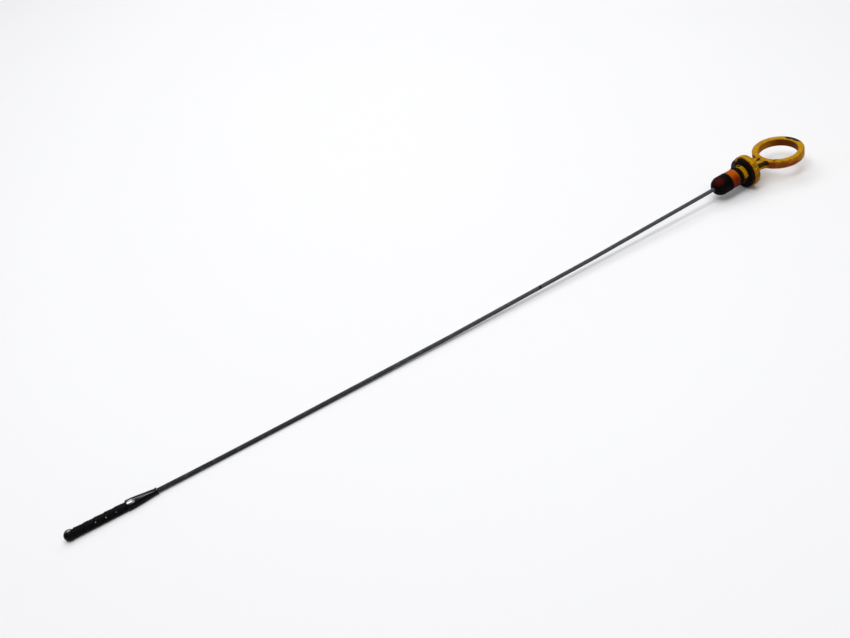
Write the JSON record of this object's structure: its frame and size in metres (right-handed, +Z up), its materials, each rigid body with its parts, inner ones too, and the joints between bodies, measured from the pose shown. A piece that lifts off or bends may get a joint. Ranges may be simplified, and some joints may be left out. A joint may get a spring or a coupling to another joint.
{
  "type": "engine oil dipstick",
  "caption": "Slim oil level dipstick: steel rod with a notched gauge tip, sealing stem and flange, and a round finger ring to pull it by.",
  "frame": {"origin": "on the surface that the dipstick lies on, below the middle of its bounding box", "axes": "+X along the rod towards the finger ring, +Z up, with the part the same on both sides of the XZ plane"},
  "size_m": [0.547, 0.035, 0.0227],
  "materials": {
    "handle_plastic": "moulded yellow plastic, oil stained and grimy",
    "seal_rubber": "black rubber with dried oil",
    "nose_rubber": "black rubber with a dull oil film",
    "rod_steel": "dark satin coating on steel wire",
    "tip_plastic": "black moulding, wet with oil"
  },
  "bodies": {
    "root": {"handle": "handle_plastic", "flange_seal": "seal_rubber", "stem_o_ring": "seal_rubber", "nose_cap": "nose_rubber", "rod": "rod_steel", "gauge_tip": "tip_plastic"}
  },
  "joints": []
}
